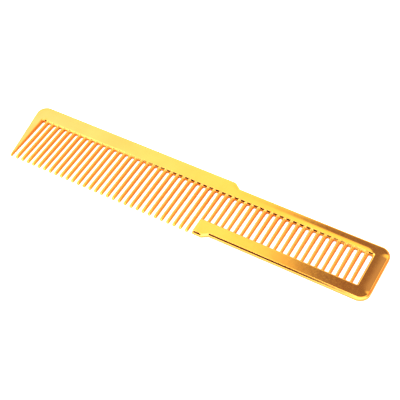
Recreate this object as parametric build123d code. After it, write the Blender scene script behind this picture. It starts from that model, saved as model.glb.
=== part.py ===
"""Barber's clipper comb: 30 open teeth, then 23 teeth closed by a lower rail.

The comb is a flat moulding that lies on the XY plane. Millimetres.
X runs along the comb, from the guard tooth to the plain squared end, +Y points
from the tooth tips to the spine, and +Z is up, out of the upper face.
The origin is the centre of the comb's footprint, on its underside.
"""
from build123d import *
import os

# ---- driving dimensions ---------------------------------------------------------
TOOTH_PITCH = 3.5          # centre to centre of neighbouring teeth
OPEN_TEETH = 30            # teeth with free tips
CLOSED_TEETH = 23          # teeth that end in the lower rail
THICKNESS = 3.0            # spine, rail and plain end, between their flat faces
EDGE_BEVEL = 0.4           # bevel round every edge of the frame

SPINE_DEPTH = 9.4          # tooth roots to back edge, over the open teeth
SPINE_DEPTH_CLOSED = 6.6   # the same after the step, over the closed teeth
STEP_PLACE = 32.1          # where the back edge steps down, in tooth pitches
STEP_RUN = 3.7             # length along X of the sloping step

TOOTH_LENGTH = 27.3        # root to tip
SLOT_LENGTH = 17.65        # root to the lower rail's inner edge
RAIL_DEPTH = 7.3           # lower rail, inner edge to outer edge
TAB_REACH = 26.9           # root to the lower tab's end
TAB_LENGTH = 5.1           # along the tab's end
TAB_STEP_RUN = 3.1         # length along X of the slope from the tab to the rail
END_WIDTH = 7.65           # plain end, along X

ROOT_WIDTH = 1.7           # open tooth at its root: along X, then along Z
ROOT_HEIGHT = 2.4
TIP_WIDTH = 1.55           # open tooth near its tip
TIP_HEIGHT = 2.0
NOSE_LENGTH = 0.6          # blunt nose on an open tooth, and how far it narrows
NOSE_TAPER = 0.6
BAR_ROOT_WIDTH = 1.9       # closed tooth at its root, as high there as an open one
BAR_RAIL_WIDTH = 1.45      # closed tooth where it meets the rail
BAR_RAIL_HEIGHT = 1.8
TOOTH_BEVEL = 0.4          # corners of a tooth's section
WALL_PLACE = 0.65          # slot walls of guard tooth, tab and plain end, from a pitch line

GUARD_TIP_OUTER = -0.53    # guard tooth's outer edge at its tip, from the first pitch line
GUARD_SLANT = 0.175        # how far that edge leans out, per mm towards the spine
GUARD_TIP_HEIGHT = 1.9     # guard tooth's thickness at its tip

CORNER_RADIUS = 5.3        # the three large corners of the outline
STEP_RADIUS = 2.5          # the step's two corners in the back edge
SMALL_RADIUS = 0.5         # the corners of the tab and of the guard tooth's tip

# ---- places worked out from them ------------------------------------------------
last_line = OPEN_TEETH + CLOSED_TEETH + 1                 # pitch line of the plain end
guard_inner = WALL_PLACE
end_inner = last_line * TOOTH_PITCH - WALL_PLACE
end_outer = end_inner + END_WIDTH
tab_left = (OPEN_TEETH + 1) * TOOTH_PITCH - WALL_PLACE
rail_outer = -(SLOT_LENGTH + RAIL_DEPTH)
step_start = STEP_PLACE * TOOTH_PITCH
guard_spine_outer = GUARD_TIP_OUTER - GUARD_SLANT * (TOOTH_LENGTH + SPINE_DEPTH)
BEYOND = 50                # a distance that clears the comb, for the blocks that cut it
FLAT = 0.001               # an edge that rises less than this lies level

# The outline is drawn from the first pitch line and the tooth roots, and then moved
# so that its box is centred on the origin.
OUTLINE = [
    ((GUARD_TIP_OUTER, -TOOTH_LENGTH), SMALL_RADIUS),
    ((guard_spine_outer, SPINE_DEPTH), CORNER_RADIUS),
    ((step_start, SPINE_DEPTH), STEP_RADIUS),
    ((step_start + STEP_RUN, SPINE_DEPTH_CLOSED), STEP_RADIUS),
    ((end_outer, SPINE_DEPTH_CLOSED), CORNER_RADIUS),
    ((end_outer, rail_outer), CORNER_RADIUS),
    ((tab_left + TAB_LENGTH + TAB_STEP_RUN, rail_outer), SMALL_RADIUS),
    ((tab_left + TAB_LENGTH, -TAB_REACH), SMALL_RADIUS),
    ((tab_left, -TAB_REACH), SMALL_RADIUS),
    ((tab_left, -SLOT_LENGTH), 0),
    ((end_inner, -SLOT_LENGTH), 0),
    ((end_inner, 0), 0),
    ((guard_inner, 0), 0),
    ((guard_inner, -TOOTH_LENGTH), SMALL_RADIUS),
]


def outline_face():
    """The frame's flat outline, with its corners rounded."""
    points = [point for point, _ in OUTLINE]
    radii = [radius for _, radius in OUTLINE]
    return make_face(FilletPolyline(*points, radius=radii, close=True))


def frame_solid():
    """Spine, guard tooth, plain end and rail in one piece, with every edge bevelled."""
    solid = extrude(outline_face(), THICKNESS)
    flat_edges = [
        edge for edge in solid.edges()
        if edge.bounding_box().size.Z < FLAT
    ]
    solid = chamfer(flat_edges, EDGE_BEVEL)
    thinning = (THICKNESS - GUARD_TIP_HEIGHT) / 2
    past_tip = -TOOTH_LENGTH - THICKNESS
    for face_height, inward in ((THICKNESS, -1), (0, 1)):
        wedge = make_face(Polyline(
            (0, face_height),
            (-TOOTH_LENGTH, face_height + inward * thinning),
            (past_tip, face_height + inward * thinning),
            (past_tip, face_height - inward * THICKNESS),
            (0, face_height - inward * THICKNESS),
            close=True,
        ))
        solid -= extrude(Plane.YZ.offset(-BEYOND) * wedge, BEYOND + TOOTH_PITCH / 2)
    return solid


def tooth_section(width, height, y):
    """A tooth's section at a place along it: a rectangle with bevelled corners."""
    plane = Plane(origin=(0, y, THICKNESS / 2), x_dir=(1, 0, 0), z_dir=(0, -1, 0))
    rectangle = Rectangle(width, height)
    return plane * chamfer(rectangle.vertices(), TOOTH_BEVEL)


def open_tooth():
    """One tooth with a free, blunt tip, its root reaching just inside the spine."""
    return loft([
        tooth_section(ROOT_WIDTH, ROOT_HEIGHT, EDGE_BEVEL),
        tooth_section(TIP_WIDTH, TIP_HEIGHT, NOSE_LENGTH - TOOTH_LENGTH),
        tooth_section(TIP_WIDTH - NOSE_TAPER, TIP_HEIGHT - NOSE_TAPER, -TOOTH_LENGTH),
    ], ruled=True)


def closed_tooth():
    """One tooth from just inside the spine to the lower rail's inner face."""
    return loft([
        tooth_section(BAR_ROOT_WIDTH, ROOT_HEIGHT, EDGE_BEVEL),
        tooth_section(BAR_RAIL_WIDTH, BAR_RAIL_HEIGHT, -SLOT_LENGTH),
    ], ruled=True)


def block(x_low, x_high, y_low, y_high):
    """A box through the whole thickness, to cut one named region out of the frame."""
    size = (x_high - x_low, y_high - y_low, 3 * THICKNESS)
    centre = ((x_low + x_high) / 2, (y_low + y_high) / 2, THICKNESS / 2)
    return Pos(*centre) * Box(*size)


def build_nodes():
    """Every sub-part by name, with the teeth cut to meet the frame face to face."""
    frame = frame_solid()
    nodes = {
        "spine": frame & block(-BEYOND, end_inner, 0, BEYOND),
        "guard_tooth": frame & block(-BEYOND, TOOTH_PITCH, -BEYOND, 0),
        "lower_rail": frame & block(TOOTH_PITCH, end_inner, -BEYOND, -SLOT_LENGTH),
        "handle_end": frame & block(end_inner, end_outer + BEYOND, -BEYOND, BEYOND),
    }
    teeth = (
        ("tooth", open_tooth(), 0, OPEN_TEETH),
        ("bar", closed_tooth(), OPEN_TEETH, CLOSED_TEETH),
    )
    for kind, form, before, count in teeth:
        for number in range(1, count + 1):
            placed = Pos((before + number) * TOOTH_PITCH, 0, 0) * form
            nodes[f"{kind}_{number:02d}"] = placed - frame
    return nodes, frame


nodes, frame = build_nodes()
box = frame.bounding_box()
to_origin = Pos(-(box.min.X + box.max.X) / 2, -(box.min.Y + box.max.Y) / 2, 0)

os.makedirs("parts", exist_ok=True)
for name, shape in nodes.items():
    export_step(to_origin * shape, f"parts/{name}.step")
print(f"{len(nodes)} nodes, frame {box.size.X:.2f} x {box.size.Y:.2f} x {box.size.Z:.2f} mm")
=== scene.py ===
"""Looks of the gold clipper comb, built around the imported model.

Shapes are worked out in millimetres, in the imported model's frame, and become metres
when a mesh is made. The spine, guard tooth, plain end and lower rail share one height
formula, so that they meet without a seam.
"""
import math

import bpy
import numpy as np
from mathutils import Matrix, Vector
from mathutils.geometry import delaunay_2d_cdt


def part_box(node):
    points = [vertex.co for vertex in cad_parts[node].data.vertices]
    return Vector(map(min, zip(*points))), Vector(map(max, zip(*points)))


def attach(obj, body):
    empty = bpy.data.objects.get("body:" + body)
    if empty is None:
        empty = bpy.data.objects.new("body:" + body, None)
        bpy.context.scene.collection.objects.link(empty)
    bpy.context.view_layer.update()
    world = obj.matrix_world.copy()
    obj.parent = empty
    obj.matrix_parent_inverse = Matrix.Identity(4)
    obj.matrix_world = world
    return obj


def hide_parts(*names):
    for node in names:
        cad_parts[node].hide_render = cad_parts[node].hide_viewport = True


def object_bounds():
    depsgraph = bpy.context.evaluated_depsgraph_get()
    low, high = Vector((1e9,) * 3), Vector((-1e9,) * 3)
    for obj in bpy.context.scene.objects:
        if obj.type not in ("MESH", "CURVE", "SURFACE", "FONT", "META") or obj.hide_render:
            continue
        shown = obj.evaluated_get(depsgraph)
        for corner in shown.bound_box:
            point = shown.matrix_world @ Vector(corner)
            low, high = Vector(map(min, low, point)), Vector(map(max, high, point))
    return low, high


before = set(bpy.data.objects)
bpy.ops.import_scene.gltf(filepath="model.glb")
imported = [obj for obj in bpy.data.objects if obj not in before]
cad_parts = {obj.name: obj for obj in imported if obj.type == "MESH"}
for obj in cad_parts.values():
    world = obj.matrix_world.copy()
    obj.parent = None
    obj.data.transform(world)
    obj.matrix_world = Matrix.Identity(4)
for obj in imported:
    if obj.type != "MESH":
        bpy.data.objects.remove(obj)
cad_low, cad_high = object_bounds()
MM = 0.001

# ---- the frame's outline, in mm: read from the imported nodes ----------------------
def box_mm(node):
    """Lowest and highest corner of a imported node, in mm."""
    low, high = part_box(node)
    return np.array(low) / MM, np.array(high) / MM


_, spine_high = box_mm("spine")
guard_low, guard_high = box_mm("guard_tooth")
rail_low, rail_high = box_mm("lower_rail")
end_low, end_high = box_mm("handle_end")

MID = spine_high[2] / 2      # height of the plane halfway through the thickness
back_y = spine_high[1]       # back edge over the open teeth
back_low_y = end_high[1]     # back edge after its step
root_y = guard_high[1]       # tooth roots
slot_y = rail_high[1]        # lower rail's inner edge
rail_y = end_low[1]          # lower rail's outer edge
tab_y = rail_low[1]          # end of the lower tab
tip_y = guard_low[1]         # tooth tips
guard_x = guard_high[0]      # guard tooth's wall
tab_x = rail_low[0]          # tab's wall
end_x = end_low[0]           # plain end's inner edge
far_x = end_high[0]          # plain end's outer edge

# ---- sizes of the outline's corners and slopes -----------------------------------
GUARD_SLANT = 0.175          # lean of the guard tooth's outer edge, mm per mm
GUARD_TIP_WIDTH = 1.18
CORNER_RADIUS = 5.3          # the three large corners
STEP_AFTER_TAB = 4.5         # from the tab's wall to where the back edge steps down
STEP_RUN = 3.7
STEP_TOP_RADIUS = 3.0
STEP_FOOT_RADIUS = 1.4
TAB_LENGTH = 5.1
TAB_STEP_RUN = 3.1
SMALL_RADIUS = 0.5

# ---- sizes of the rounded section ------------------------------------------------
OUTER_ROUND = 1.15           # how far the rounding reaches in from the outer edge
INNER_ROUND = 1.0            # the same from the slots
WALL_ROUND = 0.4             # the same at the tab's wall
GUARD_TIP_OUTER_ROUND = 0.6
GUARD_TIP_INNER_ROUND = 0.45
GUARD_TIP_HEIGHT = 1.9
SLOPE_WIDTH = 3.4            # band of the spine that curves down to the teeth
SLOPE_ANGLE = math.radians(15)   # its steepness where it reaches them
BACK_CROWN_WIDTH = 3.6       # band along the back edge that is slightly crowned
BACK_CROWN_RADIUS = 60.0
END_CROWN_RADIUS = 55.0      # plain end, falling away towards its outer edge
GUARD_REACH = 1.0            # points this far past the guard tooth's wall still follow its taper

# ---- lengths over which the slope and the crowns fade out ------------------------
SLOPE_FADE_GUARD = 3.0       # the slope, past the guard tooth's wall
SLOPE_FADE_END = 3.5         # the slope, before the plain end
BACK_FADE_BELOW = 1.0        # the back's crown, either side of the tooth roots
BACK_FADE_ABOVE = 2.0
BACK_FADE_END = 3.0          # the back's crown, over the plain end
END_FADE_RAIL = 4.0          # the end's crown, from the slots into the rail
END_FADE_SPINE = 3.5         # the end's crown, from the slots into the spine

# ---- mesh fineness ---------------------------------------------------------------
STEP = 1.3                   # spacing of points along straight edges
ARC_STEP = math.radians(7.5)
ROUND_STEPS = 9              # rings of points over each rounding
INSIDE_RINGS = (0.45, 0.9, 1.35, 1.8, 2.4, 3.0)   # rings further in than a rounding
RING_NEAR = 0.985            # share of its depth that a ring's point must keep from its own edge,
RING_SLACK = 0.001           # less this
OWNER_SLACK = 0.02           # how much smaller another edge's share of depth may be
CUT_STEP = 0.5               # spacing of points across a cut
CUT_MARGIN = 0.2             # width kept free of ring points along a cut
GRID = 0.05                  # ring points in one square of this size count as one
NUDGE = 0.02                 # half the length over which a slope is measured
THIN = 0.02                  # half thickness below which both sides share their points
BATCH = 2000                 # points measured at a time
TOUCHING = 1e-4
SAME_POINT = 1e-5
TINY = 1e-6


# ---- paths -----------------------------------------------------------------------
def unit(vector):
    """The same direction, one long."""
    return vector / np.hypot(*vector)


def turned(vector, side):
    """A vector turned a quarter turn: side 1 to the left, -1 to the right."""
    return side * np.array([-vector[1], vector[0]])


def turn_between(first, last):
    """Angle from one direction to another, to the left."""
    return math.atan2(first[0] * last[1] - first[1] * last[0], float(first @ last))


def fan(place, first, last):
    """One point several times, with normals that swing from the first to the last."""
    angle = turn_between(first, last)
    count = max(1, round(abs(angle) / ARC_STEP))
    made = []
    for number in range(count + 1):
        turn = angle * number / count
        cos, sin = math.cos(turn), math.sin(turn)
        normal = np.array([first[0] * cos - first[1] * sin, first[0] * sin + first[1] * cos])
        made.append((place, normal))
    return made


def path(start, corners, finish, side):
    """Points and inward normals along a line from start to finish by ((x, y), radius) corners.

    The material lies on the given side: 1 is left, -1 is right.
    """
    places = [np.array(place, float) for place in (start, *(place for place, _ in corners), finish)]
    radii = [radius for _, radius in corners] + [0]
    made = []
    start = places[0]
    for before, here, after, radius in zip(places, places[1:], places[2:] + [None], radii):
        along = unit(here - before)
        normal = turned(along, side)
        cut = 0.0
        if after is not None:
            onward = unit(after - here)
            turn = turn_between(along, onward)
            cut = radius * math.tan(abs(turn) / 2)
        finish = here - along * cut
        count = max(1, math.ceil(np.hypot(*(finish - start)) / STEP))
        made += [(start + (finish - start) * k / count, normal) for k in range(count + 1)]
        if after is None:
            break
        next_normal = turned(onward, side)
        if radius > 0:
            bend = 1 if turn > 0 else -1
            centre = finish + turned(along, bend) * radius
            swing = fan(centre, -turned(along, bend), -turned(onward, bend))
            made += [(centre + out * radius, -out * (1 if bend == side else -1)) for _, out in swing[1:-1]]
        elif side * turn < 0:
            made += fan(here, normal, next_normal)[1:-1]
        start = here + onward * cut
    return np.array([place for place, _ in made]), np.array([normal for _, normal in made])


def slant_x(y):
    """The guard tooth's outer edge at a height y."""
    return guard_x - GUARD_TIP_WIDTH - GUARD_SLANT * (y - tip_y)


STEP_X = tab_x + STEP_AFTER_TAB
guard_outer = (slant_x(root_y), root_y)
back_left = (slant_x(back_y), back_y)
back_right = (far_x, back_low_y)
rail_right = (far_x, rail_y)
slope_top = (tab_x + TAB_LENGTH + TAB_STEP_RUN, rail_y)
tab_right = (tab_x + TAB_LENGTH, tab_y)
tab_left = (tab_x, tab_y)

guard_corners = [((guard_x, tip_y), SMALL_RADIUS), ((slant_x(tip_y), tip_y), SMALL_RADIUS)]
spine_corners = [(back_left, CORNER_RADIUS), ((STEP_X, back_y), STEP_TOP_RADIUS),
                 ((STEP_X + STEP_RUN, back_low_y), STEP_FOOT_RADIUS)]
end_corners = [(back_right, CORNER_RADIUS), (rail_right, CORNER_RADIUS)]
rail_corners = [(slope_top, SMALL_RADIUS), (tab_right, SMALL_RADIUS), (tab_left, SMALL_RADIUS)]
slot_corners = [((guard_x, root_y), 0), ((end_x, root_y), 0), ((end_x, slot_y), 0)]

guard_edge = path((guard_x, root_y), guard_corners, guard_outer, -1)
spine_edge = path(guard_outer, spine_corners, (end_x, back_low_y), -1)
end_edge = path((end_x, back_low_y), end_corners, (end_x, rail_y), -1)
rail_edge = path((end_x, rail_y), rail_corners, (tab_x, slot_y), -1)
root_edge = path((end_x, root_y), [], (guard_x, root_y), 1)
end_wall = path((end_x, slot_y), [], (end_x, root_y), 1)
slot_edge = path((tab_x, slot_y), [], (end_x, slot_y), 1)

# The same edges as whole lines, to measure how far a point lies inside the material.
OUTER = path((guard_x, tip_y + SMALL_RADIUS), guard_corners + spine_corners + end_corners + rail_corners,
             (tab_x, tab_y + SMALL_RADIUS), -1)
INNER = path((guard_x, tip_y), slot_corners, (tab_x, slot_y), 1)
WALL = path((tab_x, slot_y), [], (tab_x, tab_y), 1)


def clearance(edge, points):
    """How far each point lies from an edge, and the direction straight away from that edge."""
    places, normals = edge
    start, finish = places[:-1], places[1:]
    span = finish - start
    length = np.einsum("ij,ij->i", span, span)
    real = length > TINY
    start, span, length, normal = start[real], span[real], length[real], normals[:-1][real]
    distance = np.empty(len(points))
    away = np.empty((len(points), 2))
    for first in range(0, len(points), BATCH):
        part = points[first:first + BATCH]
        offset = part[:, None, :] - start[None]
        along = np.clip(np.einsum("ijk,jk->ij", offset, span) / length, 0, 1)
        gap = offset - along[..., None] * span[None]
        squared = np.einsum("ijk,ijk->ij", gap, gap)
        best = np.argmin(squared, axis=1)
        rows = np.arange(len(part))
        near = np.sqrt(squared[rows, best])
        direction = gap[rows, best] / np.maximum(near, TINY)[:, None]
        on_edge = near < TOUCHING
        direction[on_edge] = normal[best][on_edge]
        distance[first:first + BATCH] = near
        away[first:first + BATCH] = direction
    return distance, away


# ---- the height of the surface above the mid-plane -------------------------------
def smooth(value, low, high):
    """0 below low, 1 above high, and an S-curve between them."""
    share = np.clip((value - low) / (high - low), 0, 1)
    return share * share * (3 - 2 * share)


def toward_tip(points):
    """0 away from the guard tooth, and 0 to 1 along it."""
    share = np.clip((root_y - points[:, 1]) / (root_y - tip_y), 0, 1)
    return np.where(points[:, 0] < guard_x + GUARD_REACH, share, 0.0)


def round_widths(points):
    """How far in the rounding reaches: from the outer edge, the slots and the tab's wall."""
    share = toward_tip(points)
    outer = OUTER_ROUND + (GUARD_TIP_OUTER_ROUND - OUTER_ROUND) * share
    inner = INNER_ROUND + (GUARD_TIP_INNER_ROUND - INNER_ROUND) * share
    return outer, inner, np.full(len(points), WALL_ROUND)


def relief(points):
    """Half the thickness before the edges are rounded, with the slope, the crowns and the taper."""
    x, y = points[:, 0], points[:, 1]
    height = MID + (GUARD_TIP_HEIGHT / 2 - MID) * toward_tip(points)
    on_spine = smooth(x, guard_x, guard_x + SLOPE_FADE_GUARD)
    on_spine = on_spine * (1 - smooth(x, end_x - SLOPE_FADE_END, end_x)) * (y > root_y - TINY)
    into_slope = np.maximum(0, root_y + SLOPE_WIDTH - y)
    height -= on_spine * math.tan(SLOPE_ANGLE) * into_slope ** 2 / (2 * SLOPE_WIDTH)
    from_back = clearance(OUTER, points)[0]
    crown = np.maximum(0, BACK_CROWN_WIDTH - from_back) ** 2 / (2 * BACK_CROWN_RADIUS)
    crown = crown * smooth(y, root_y - BACK_FADE_BELOW, root_y + BACK_FADE_ABOVE)
    height -= crown * (1 - smooth(x, end_x, end_x + BACK_FADE_END))
    on_end = smooth(y, slot_y - END_FADE_RAIL, slot_y)
    on_end = on_end * (1 - smooth(y, root_y, root_y + END_FADE_SPINE))
    height -= on_end * np.maximum(0, x - end_x) ** 2 / (2 * END_CROWN_RADIUS)
    return height


def surface(points):
    """Height of the surface above the mid-plane at each point, and its normal."""
    height = relief(points)
    slope = np.stack([
        (relief(points + move) - relief(points - move)) / (2 * NUDGE)
        for move in (np.array([NUDGE, 0]), np.array([0, NUDGE]))
    ], axis=1)
    square = height ** 2
    steepness = 2 * height[:, None] * slope
    for edge, width in zip((OUTER, INNER, WALL), round_widths(points)):
        distance, away = clearance(edge, points)
        share = np.minimum(distance / width, 1)
        factor = 1 - (1 - share) ** 2
        rate = 2 * (1 - share) / width
        steepness = steepness * factor[:, None] + (square * rate)[:, None] * away
        square = square * factor
    height = np.sqrt(np.maximum(square, 0))
    height[height < THIN] = 0
    normal = np.column_stack([-steepness, 2 * height])
    return height, normal / np.linalg.norm(normal, axis=1)[:, None]


# ---- meshes of the frame's four pieces -------------------------------------------
def ring_depths(width):
    """Depths of the rings of points over a rounding, close together at the edge."""
    return [width * (1 - math.cos(math.pi / 2 * k / ROUND_STEPS)) for k in range(1, ROUND_STEPS + 1)]


def cut_line(outer, inner):
    """Points across the frame where two pieces meet, from its outer edge to its inner edge."""
    outer, inner = np.array(outer, float), np.array(inner, float)
    length = np.hypot(*(inner - outer))
    depths = [0.0] + ring_depths(OUTER_ROUND)
    last = [0.0] + ring_depths(INNER_ROUND)
    room = length - depths[-1] - last[-1]
    count = max(1, round(room / CUT_STEP))
    depths += [depths[-1] + room * k / count for k in range(1, count)]
    depths += [length - depth for depth in reversed(last)]
    return np.array([outer + (inner - outer) * depth / length for depth in depths])


def inside(polygon, points):
    """Which points lie inside a closed outline."""
    x, y = points[:, 0], points[:, 1]
    found = np.zeros(len(points), bool)
    for (x1, y1), (x2, y2) in zip(polygon, np.roll(polygon, -1, axis=0)):
        if y1 == y2:
            continue
        crosses = (y1 > y) != (y2 > y)
        found ^= crosses & (x < (x2 - x1) * (y - y1) / (y2 - y1) + x1)
    return found


def ring_points(polygon, cuts):
    """Points inside an outline, on rings at set depths from the edge that they are nearest to."""
    rings = []
    for number, edge in enumerate((OUTER, INNER, WALL)):
        places, normals = edge
        width = round_widths(places)[number][:, None]
        depths = [width * share for share in ring_depths(1)] + [width + extra for extra in INSIDE_RINGS]
        for depth in depths[:ROUND_STEPS] if edge is WALL else depths:
            points = places + normals * depth
            near = clearance(edge, points)[0]
            kept = points[near > depth[:, 0] * RING_NEAR - RING_SLACK]
            rings.append(np.column_stack([kept, np.full(len(kept), number)]))
    rings = np.concatenate(rings)
    rings = rings[inside(polygon, rings[:, :2])]
    points, owner = rings[:, :2], rings[:, 2].astype(int)
    shares = np.stack([
        clearance(edge, points)[0] / width
        for edge, width in zip((OUTER, INNER, WALL), round_widths(points))
    ])
    own = shares[owner, np.arange(len(points))]
    keep = own <= shares.min(axis=0) + OWNER_SLACK
    for cut in cuts:
        keep &= clearance((np.array(cut, float), np.zeros((2, 2))), points)[0] > CUT_MARGIN
    points = points[keep]
    _, first = np.unique(np.round(points / GRID).astype(int), axis=0, return_index=True)
    return points[np.sort(first)]


def make_object(name, vertices, faces, normals, caps):
    """A mesh object from points in mm, with one normal for each corner of each face.

    The last faces, as many as caps says, are the flat ones that close it.
    """
    mesh = bpy.data.meshes.new(name)
    mesh.from_pydata([tuple(point) for point in np.asarray(vertices) * MM], [], faces)
    mesh.shade_smooth()
    for polygon in mesh.polygons[len(faces) - caps:]:
        polygon.use_smooth = False
    mesh.normals_split_custom_set([tuple(normal) for normal in normals])
    piece = bpy.data.objects.new(name, mesh)
    bpy.context.collection.objects.link(piece)
    return piece


def plate(name, polygon, cuts):
    """One piece of the frame: its outline meshed, raised on both sides and closed at its cuts."""
    polygon = np.asarray(polygon)
    flat = np.concatenate([polygon, ring_points(polygon, cuts)])
    count = len(polygon)
    points, _, triangles, *_ = delaunay_2d_cdt(
        [Vector(point) for point in flat], [], [list(range(count))], 1, SAME_POINT)
    points = np.array([tuple(point) for point in points])
    height, up = surface(points)
    level = height == 0
    below = np.where(level, np.arange(len(points)), -1)
    below[~level] = len(points) + np.arange((~level).sum())
    vertices = np.concatenate([
        np.column_stack([points, MID + height]),
        np.column_stack([points, MID - height])[~level],
    ])
    down = up * (1, 1, -1)
    faces = []
    normals = []
    for triangle in triangles:
        if level[list(triangle)].all():
            continue
        faces.append(tuple(triangle))
        normals += [up[k] for k in triangle]
        turned_over = tuple(reversed(triangle))
        faces.append(tuple(int(below[k]) for k in turned_over))
        normals += [down[k] for k in turned_over]
    open_faces = len(faces)
    for start, finish in cuts:
        start, finish = np.array(start, float), np.array(finish, float)
        along = unit(finish - start)
        offset = points - start
        away = offset @ turned(along, 1)
        reach = offset @ along
        length = np.hypot(*(finish - start))
        near = (abs(away) < TOUCHING) & (reach > -TOUCHING) & (reach < length + TOUCHING)
        on_cut = np.flatnonzero(near)
        on_cut = on_cut[np.argsort(reach[on_cut])]
        out = np.append(turned(along, -1), 0)
        for one, two in zip(on_cut, on_cut[1:]):
            corners = [int(one), int(two), int(below[two]), int(below[one])]
            face = tuple(dict.fromkeys(reversed(corners)))
            if len(face) > 2:
                faces.append(face)
                normals += [out] * len(face)
    return make_object(name, vertices, faces, normals, len(faces) - open_faces)


guard_cut = (guard_outer, (guard_x, root_y))
back_cut = ((end_x, back_low_y), (end_x, root_y))
rail_cut = ((end_x, rail_y), (end_x, slot_y))


def joined(*parts):
    """One closed outline from stretches that follow each other, with no point twice."""
    points = np.concatenate(parts)
    gap = np.hypot(*(points - np.roll(points, 1, axis=0)).T)
    return points[gap > SAME_POINT]


def frame_pieces():
    """The four pieces of the frame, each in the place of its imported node."""
    spine = plate("spine_gold", joined(
        spine_edge[0], cut_line(*back_cut), root_edge[0], cut_line(*guard_cut)[::-1],
    ), [guard_cut[::-1], back_cut])
    guard = plate("guard_tooth_gold", joined(guard_edge[0], cut_line(*guard_cut)), [guard_cut])
    end = plate("handle_end_gold", joined(
        end_edge[0], cut_line(*rail_cut), end_wall[0], cut_line(*back_cut)[::-1],
    ), [rail_cut, back_cut[::-1]])
    rail = plate("lower_rail_gold", joined(
        rail_edge[0], slot_edge[0], cut_line(*rail_cut)[::-1],
    ), [rail_cut[::-1]])
    return [(spine, "spine"), (guard, "guard_tooth"), (end, "handle_end"), (rail, "lower_rail")]


# ---- the teeth -------------------------------------------------------------------
SECTION_POINTS = 32
SECTION_POWER = 2.4          # 2 is an ellipse, and more is squarer
ROOT_DEPTH = 1.5             # how far a tooth's root runs on inside the spine
RAIL_DEPTH = 0.35            # how far a closed tooth runs on inside the rail
ROOT_FILLET = 0.25           # radius of the corner between a tooth and the spine
ROOT_HEIGHT = 2.4            # every tooth, where it meets the spine
ROOT_WIDTH = 1.8             # open tooth, there and near its tip
TIP_WIDTH = 1.65
TIP_HEIGHT = 2.0
BAR_ROOT_WIDTH = 2.0         # closed tooth, where it meets the spine and at the rail
BAR_WIDTH = 1.5
BAR_HEIGHT = 1.8
NOSE = 0.7                   # length of the rounded tip
NOSE_END = 0.12              # size of the tip's end, as a share of the tooth's
NOSE_STEPS = 7
BODY_STEPS = 8
FILLET_STEPS = 6


def section(half_width, half_height):
    """Points (x, z) and normals round a tooth: between an ellipse and a rectangle."""
    made = []
    for number in range(SECTION_POINTS):
        angle = 2 * math.pi * number / SECTION_POINTS
        share = np.array([math.cos(angle), math.sin(angle)])
        share = np.sign(share) * np.where(abs(share) < TINY, 0, abs(share)) ** (2 / SECTION_POWER)
        out = np.sign(share) * abs(share) ** (SECTION_POWER - 1) / (half_width, half_height)
        made.append((share * (half_width, half_height), unit(out)))
    return made


def lofted(name, x, stations):
    """A closed bar along Y from (y, half width, half height) stations, tip first."""
    y, width, height = np.array(stations, float).T
    width_rate = np.gradient(width, y)
    height_rate = np.gradient(height, y)
    vertices, outward = [], []
    for k in range(len(y)):
        for place, out in section(width[k], height[k]):
            vertices.append((x + place[0], y[k], MID + place[1]))
            lean = -(abs(out[0]) * width_rate[k] + abs(out[1]) * height_rate[k])
            outward.append(np.array([out[0], lean, out[1]]) / math.sqrt(1 + lean * lean))
    size = len(vertices) // len(y)
    faces, normals = [], []
    for k in range(len(y) - 1):
        for j in range(size):
            after = (j + 1) % size
            face = (k * size + j, (k + 1) * size + j, (k + 1) * size + after, k * size + after)
            faces.append(face)
            normals += [outward[corner] for corner in face]
    tip = tuple(range(size))
    root = tuple(reversed(range(len(vertices) - size, len(vertices))))
    faces += [tip, root]
    normals += [np.array([0, -1.0, 0])] * size + [np.array([0, 1.0, 0])] * size
    return make_object(name, vertices, faces, normals, 2)


def tooth_stations(end_y, end_width, end_height, root_width, nose):
    """Stations of one tooth from its far end to inside the spine."""
    stations = []
    if nose:
        for k in range(NOSE_STEPS):
            angle = math.pi / 2 * k / NOSE_STEPS
            swell = max(math.sin(angle), NOSE_END)
            along = NOSE * (1 - math.cos(angle))
            stations.append((end_y + along, end_width / 2 * swell, end_height / 2 * swell))
        start = end_y + NOSE
    else:
        start = end_y - RAIL_DEPTH
    body = root_y - ROOT_FILLET - start
    for k in range(BODY_STEPS + 1):
        share = k / BODY_STEPS
        width = end_width + (root_width - end_width) * share
        height = end_height + (ROOT_HEIGHT - end_height) * share
        stations.append((start + body * share, width / 2, height / 2))
    for k in range(1, FILLET_STEPS + 1):
        angle = math.pi / 2 * k / FILLET_STEPS
        along = ROOT_FILLET * math.sin(angle)
        swell = ROOT_FILLET * (1 - math.cos(angle))
        stations.append((root_y - ROOT_FILLET + along, root_width / 2 + swell, ROOT_HEIGHT / 2))
    stations.append((root_y + ROOT_DEPTH, root_width / 2 + ROOT_FILLET, ROOT_HEIGHT / 2))
    return stations


def tooth_pieces():
    """One piece for each open tooth and each closed one."""
    made = []
    for node in sorted(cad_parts):
        if not node.startswith(("tooth_", "bar_")):
            continue
        low, high = box_mm(node)
        x = (low[0] + high[0]) / 2
        if node.startswith("tooth_"):
            stations = tooth_stations(tip_y, TIP_WIDTH, TIP_HEIGHT, ROOT_WIDTH, True)
        else:
            stations = tooth_stations(slot_y, BAR_WIDTH, BAR_HEIGHT, BAR_ROOT_WIDTH, False)
        made.append((lofted(node + "_gold", x, stations), node))
    return made


# ---- shader helpers --------------------------------------------------------------
LEFT, RIGHT = (-1, 0, 0), (1, 0, 0)
BACK, FRONT = (0, 1, 0), (0, -1, 0)
UP = (0, 0, 1)


def calculate(tree, operation, first, second=None):
    """A math node's output."""
    node = tree.nodes.new("ShaderNodeMath")
    node.operation = operation
    for socket, value in zip(node.inputs, (first, second)):
        if isinstance(value, (int, float)):
            socket.default_value = value
        elif value is not None:
            tree.links.new(value, socket)
    return node.outputs[0]


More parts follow.
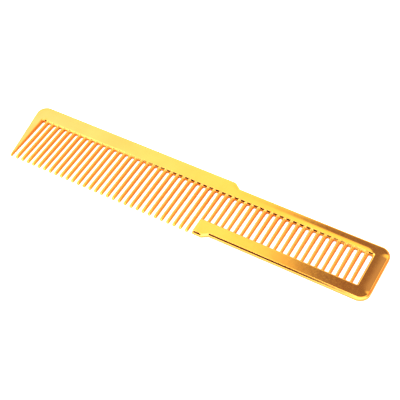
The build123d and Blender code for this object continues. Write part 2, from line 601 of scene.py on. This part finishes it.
def vector_math(tree, operation, first, second=None):
    """A vector math node's output, which is a number for some operations."""
    node = tree.nodes.new("ShaderNodeVectorMath")
    node.operation = operation
    for socket, value in zip(node.inputs, (first, second)):
        if isinstance(value, tuple):
            socket.default_value = value
        elif value is not None:
            tree.links.new(value, socket)
    return node.outputs["Value" if operation in ("DOT_PRODUCT", "LENGTH") else "Vector"]


def dot(tree, vector, fixed):
    """How far a vector reaches along a fixed one."""
    return vector_math(tree, "DOT_PRODUCT", vector, tuple(fixed))


def product(tree, factors):
    """Several values multiplied together."""
    result = factors[0]
    for factor in factors[1:]:
        result = calculate(tree, "MULTIPLY", result, factor)
    return result


def map_range(tree, value, from_low, from_high, to_low, to_high):
    """A value moved from one range to another along an S-curve."""
    node = tree.nodes.new("ShaderNodeMapRange")
    node.interpolation_type = "SMOOTHSTEP"
    tree.links.new(value, node.inputs["Value"])
    limits = {"From Min": from_low, "From Max": from_high, "To Min": to_low, "To Max": to_high}
    for name, number in limits.items():
        node.inputs[name].default_value = number
    return node.outputs["Result"]


def noise(tree, vector, scale, detail):
    """A noise texture, whose scale is in cells per metre."""
    node = tree.nodes.new("ShaderNodeTexNoise")
    tree.links.new(vector, node.inputs["Vector"])
    node.inputs["Scale"].default_value = scale
    node.inputs["Detail"].default_value = detail
    return node.outputs["Fac"]


def mix_colour(tree, share, first, second):
    """The first colour, going over to the second as the share goes from 0 to 1."""
    node = tree.nodes.new("ShaderNodeMix")
    node.data_type = "RGBA"
    sockets = [socket for socket in node.inputs if socket.type == "RGBA"]
    tree.links.new(share, node.inputs["Factor"])
    for socket, colour in zip(sockets, (first, second)):
        if isinstance(colour, tuple):
            socket.default_value = (*colour, 1)
        else:
            tree.links.new(colour, socket)
    return [socket for socket in node.outputs if socket.type == "RGBA"][0]


# ---- materials -------------------------------------------------------------------
GOLD_DEEP = (1.0, 0.47, 0.085)
GOLD_PALE = (1.0, 0.52, 0.10)
NOISE_LOW, NOISE_HIGH = 0.3, 0.7     # the part of a noise's range that is used
CLOUD_SCALE = 55.0           # soft patches of deeper and paler gold
HAZE_SCALE = 900.0           # fine patches of sharper and duller gloss
HAZE_SHARP, HAZE_DULL = 0.07, 0.12
WAVE_SCALE = 220.0           # waviness of the plating
HAIRLINE_SCALE = 160.0       # hairlines along the comb, this much finer across it
HAIRLINE_STRETCH = 30
HAIRLINE_HEIGHT = 0.04       # against the waves
BUMP_STRENGTH = 0.05
BUMP_HEIGHT = 0.2 * MM

FLOOR_WHITE = 0.82
SEEN_GLOW = 0.9              # glow that the camera sees
FLOOR_PAINTED_GLOW = 0.7             # painted light: glow that the gold reflects, away from the comb
PAINTED_SHADOW_FADE_START, PAINTED_SHADOW_FADE_END = -0.001, 0.006    # edge of the painted shadow: metres outside the comb's footprint
PAINTED_SHADE_PAST_END = 0.35              # painted shade: share of the glow that is left past the plain end
PAINTED_SHADE_START_X, PAINTED_SHADE_FULL_X = 0.097, 0.103       # where the painted shade falls to that, along X


def gold_material():
    """Mirror-like gold plating with a faint waviness, cloudy roughness and fine hairlines."""
    material = bpy.data.materials.new("gold_plating_looks")
    material.use_nodes = True
    tree = material.node_tree
    shader = tree.nodes["Principled BSDF"]
    place = tree.nodes.new("ShaderNodeTexCoord").outputs["Object"]
    shader.inputs["Metallic"].default_value = 1.0
    shader.inputs["IOR"].default_value = 1.45
    clouds = map_range(tree, noise(tree, place, CLOUD_SCALE, 2), NOISE_LOW, NOISE_HIGH, 0, 1)
    tree.links.new(mix_colour(tree, clouds, GOLD_DEEP, GOLD_PALE), shader.inputs["Base Color"])
    haze = noise(tree, place, HAZE_SCALE, 3)
    haze = map_range(tree, haze, NOISE_LOW, NOISE_HIGH, HAZE_SHARP, HAZE_DULL)
    tree.links.new(haze, shader.inputs["Roughness"])
    stretched = tree.nodes.new("ShaderNodeMapping")
    tree.links.new(place, stretched.inputs["Vector"])
    stretched.inputs["Scale"].default_value = (1, HAIRLINE_STRETCH, HAIRLINE_STRETCH)
    hairlines = noise(tree, stretched.outputs["Vector"], HAIRLINE_SCALE, 2)
    hairlines = calculate(tree, "MULTIPLY", hairlines, HAIRLINE_HEIGHT)
    waves = noise(tree, place, WAVE_SCALE, 1)
    bump = tree.nodes.new("ShaderNodeBump")
    bump.inputs["Strength"].default_value = BUMP_STRENGTH
    bump.inputs["Distance"].default_value = BUMP_HEIGHT
    tree.links.new(calculate(tree, "ADD", hairlines, waves), bump.inputs["Height"])
    tree.links.new(bump.outputs["Normal"], shader.inputs["Normal"])
    return material


def floor_material():
    """White studio table. It glows for the camera and, as painted light, for the gold outside the comb's
    footprint; over the footprint that glow is missing, a painted shadow.
    """
    material = bpy.data.materials.new("studio_floor")
    material.use_nodes = True
    tree = material.node_tree
    shader = tree.nodes["Principled BSDF"]
    shader.inputs["Base Color"].default_value = (FLOOR_WHITE, FLOOR_WHITE, FLOOR_WHITE, 1)
    shader.inputs["Roughness"].default_value = 0.9
    shader.inputs["Specular IOR Level"].default_value = 0.0
    shader.inputs["Emission Color"].default_value = (1, 1, 1, 1)
    place = tree.nodes.new("ShaderNodeTexCoord").outputs["Object"]
    middle = (cad_low + cad_high) / 2
    reach = (cad_high - cad_low) / 2
    offset = vector_math(tree, "SUBTRACT", place, (middle.x, middle.y, 0))
    offset = vector_math(tree, "ABSOLUTE", offset)
    outside = vector_math(tree, "SUBTRACT", offset, (reach.x, reach.y, 1))
    outside = vector_math(tree, "MAXIMUM", outside, (0, 0, 0))
    distance = vector_math(tree, "LENGTH", outside)
    # painted shadow: no glow for the gold over the comb's footprint, full glow a few mm outside it
    painted_glow = map_range(tree, distance, PAINTED_SHADOW_FADE_START, PAINTED_SHADOW_FADE_END, 0, FLOOR_PAINTED_GLOW)
    # painted shade: the floor's glow for the gold is dimmer past the plain end
    along = dot(tree, place, RIGHT)
    painted_glow = calculate(tree, "MULTIPLY", painted_glow, map_range(tree, along, PAINTED_SHADE_START_X, PAINTED_SHADE_FULL_X, 1, PAINTED_SHADE_PAST_END))
    seen = tree.nodes.new("ShaderNodeLightPath").outputs["Is Camera Ray"]
    seen = calculate(tree, "MULTIPLY", seen, SEEN_GLOW)
    tree.links.new(calculate(tree, "MAXIMUM", seen, painted_glow), shader.inputs["Emission Strength"])
    return material


# ---- studio ----------------------------------------------------------------------
PAST = 2                     # beyond any direction's reach, for a side without a limit

# Regions of the studio: limits on a ray's direction, as axis, low, high and softness.
LEFT_WALL = [(LEFT, 0.425, PAST, 0.175)]                        # whiter than the rest
LOW_LEFT = [(LEFT, 0.3, PAST, 0.06), (UP, -PAST, 0.66, 0.05)]   # lights the teeth's left flanks
LOW_RIGHT = [(RIGHT, 0.1, PAST, 0.12), (UP, -PAST, 0.74, 0.06)]   # orange, for their right flanks
ROOM = [(FRONT, 0.05, PAST, 0.1)]                               # all that lies in front of the comb
ROOM_MIDDLE = [(LEFT, 0.19, 0.43, 0.02)]                        # the only dim part of the room
DOORWAY = [(FRONT, 0.06, PAST, 0.04), (UP, 0.12, PAST, 0.04), (LEFT, 0.2, 0.42, 0.02)]   # darkest
STRIP = [(BACK, -0.01, 0.09, 0.02), (UP, 0.12, PAST, 0.04), (LEFT, 0.1, 0.5, 0.05)]      # brightest

# Ovals: azimuth, elevation, half width and half height in degrees, and softness.
CARD_BESIDE = (-2, 56, 8, 14, 0.5)      # brown, for the plain end's outer side
CARD_BEHIND = (15, 54, 6.5, 9, 0.45)    # darker brown, for its inner side and the ends of spine and rail
LAMP = (-145, 12, 16, 11, 0.3)

FLOOR_REACH = 1.5
FLOOR_GAP = 0.02 * MM        # between the floor and the comb's underside


def direction(azimuth, elevation):
    """Unit vector: azimuth in degrees from +Y towards -X, elevation above the floor."""
    azimuth, elevation = math.radians(azimuth), math.radians(elevation)
    flat = math.cos(elevation)
    return Vector((-math.sin(azimuth) * flat, math.cos(azimuth) * flat, math.sin(elevation)))


def oval(tree, ray, azimuth, elevation, half_width, half_height, soft):
    """1 inside an oval of the sky and 0 outside it."""
    centre = direction(azimuth, elevation)
    across = Vector((centre.y, -centre.x, 0)).normalized()
    upward = across.cross(centre)
    squares = []
    for axis, half in ((across, half_width), (upward, half_height)):
        offset = calculate(tree, "DIVIDE", dot(tree, ray, axis), math.sin(math.radians(half)))
        squares.append(calculate(tree, "MULTIPLY", offset, offset))
    distance = calculate(tree, "SQRT", calculate(tree, "ADD", *squares))
    inner = map_range(tree, distance, 1 - soft, 1 + soft, 1, 0)
    facing = calculate(tree, "GREATER_THAN", dot(tree, ray, centre), 0)
    return calculate(tree, "MULTIPLY", inner, facing)


def band(tree, ray, axis, low, high, soft):
    """1 where the ray's part along an axis lies between two values, and 0 outside them."""
    part = dot(tree, ray, axis)
    above = map_range(tree, part, low - soft, low + soft, 0, 1)
    below = map_range(tree, part, high - soft, high + soft, 1, 0)
    return calculate(tree, "MULTIPLY", above, below)


def region(tree, ray, limits):
    """1 where a ray lies within every one of a region's limits, and 0 elsewhere."""
    return product(tree, [band(tree, ray, *limit) for limit in limits])


def studio_world():
    """Pale walls and ceiling with two brown cards behind the comb, and a room in front of it."""
    world = bpy.data.worlds.new("studio")
    bpy.context.scene.world = world
    world.use_nodes = True
    tree = world.node_tree
    ray = tree.nodes.new("ShaderNodeTexCoord").outputs["Generated"]
    room = region(tree, ray, ROOM)
    beyond_middle = calculate(tree, "SUBTRACT", 1, region(tree, ray, ROOM_MIDDLE))
    colour = mix_colour(tree, region(tree, ray, LEFT_WALL), (1.68, 1.55, 1.0), (1.7, 1.62, 2.4))
    for share, paint in (
        (region(tree, ray, LOW_LEFT), (1.25, 1.5, 1.45)),
        (region(tree, ray, LOW_RIGHT), (1.15, 0.5, 0.5)),
        (oval(tree, ray, *CARD_BESIDE), (0.62, 0.5, 0.6)),
        (oval(tree, ray, *CARD_BEHIND), (0.33, 0.22, 0.25)),
        (room, (0.45, 0.45, 0.45)),
        (product(tree, [room, beyond_middle]), (2, 2, 2.4)),
        (region(tree, ray, DOORWAY), (0.1, 0.045, 0.05)),
        (region(tree, ray, STRIP), (5, 5, 6)),
        (oval(tree, ray, *LAMP), (4, 4, 4.5)),
    ):
        colour = mix_colour(tree, share, colour, paint)
    tree.links.new(colour, tree.nodes["Background"].inputs["Color"])


def area_light(name, towards, distance, width, length, power):
    """A rectangular soft light that faces the comb, unseen by the camera."""
    middle = (cad_low + cad_high) / 2
    data = bpy.data.lights.new(name, "AREA")
    data.shape = "RECTANGLE"
    data.size = width
    data.size_y = length
    data.energy = power
    light = bpy.data.objects.new(name, data)
    light.location = middle + towards * distance
    light.rotation_euler = towards.to_track_quat("Z", "Y").to_euler()
    light.visible_camera = False
    bpy.context.collection.objects.link(light)


def studio():
    """The painted surroundings, one soft light and the floor."""
    studio_world()
    area_light("softbox_left", direction(95, 32), distance=0.8, width=0.5, length=0.3, power=3.0)
    mesh = bpy.data.meshes.new("floor")
    sides = ((-1, -1), (1, -1), (1, 1), (-1, 1))
    mesh.from_pydata([(x * FLOOR_REACH, y * FLOOR_REACH, 0) for x, y in sides], [], [(0, 1, 2, 3)])
    floor = bpy.data.objects.new("floor", mesh)
    floor.location.z = cad_low.z - FLOOR_GAP
    floor.data.materials.append(floor_material())
    bpy.context.collection.objects.link(floor)


# ---- camera ----------------------------------------------------------------------
CAMERA_AZIMUTH = math.radians(34.8)      # from -Y towards +X
CAMERA_ELEVATION = math.radians(51.26)
CAMERA_DISTANCE = 0.442
CAMERA_ROLL = math.radians(-5.91)
CAMERA_TARGET = Vector((0.00582, 0.00219, 0))
CAMERA_LENS = 81.48
CAMERA_SENSOR = 36


def camera():
    """The scene's camera, looking down at the comb from its tooth side."""
    data = bpy.data.cameras.new("camera")
    data.lens = CAMERA_LENS
    data.sensor_width = CAMERA_SENSOR
    data.clip_start = 0.01
    back = Vector((
        math.sin(CAMERA_AZIMUTH) * math.cos(CAMERA_ELEVATION),
        -math.cos(CAMERA_AZIMUTH) * math.cos(CAMERA_ELEVATION),
        math.sin(CAMERA_ELEVATION),
    ))
    side = Vector((0, 0, 1)).cross(back).normalized()
    upright = Matrix((side, back.cross(side), back)).transposed()
    made = bpy.data.objects.new("camera", data)
    made.matrix_world = Matrix.LocRotScale(
        CAMERA_TARGET + back * CAMERA_DISTANCE, upright @ Matrix.Rotation(CAMERA_ROLL, 3, "Z"), None)
    bpy.context.collection.objects.link(made)
    bpy.context.scene.camera = made


def main():
    """Camera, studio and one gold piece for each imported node."""
    camera()
    studio()
    gold = gold_material()
    for piece, node in frame_pieces() + tooth_pieces():
        piece.data.materials.append(gold)
        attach(piece, "root")
        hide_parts(node)
    bpy.context.scene.view_settings.view_transform = "Standard"


main()
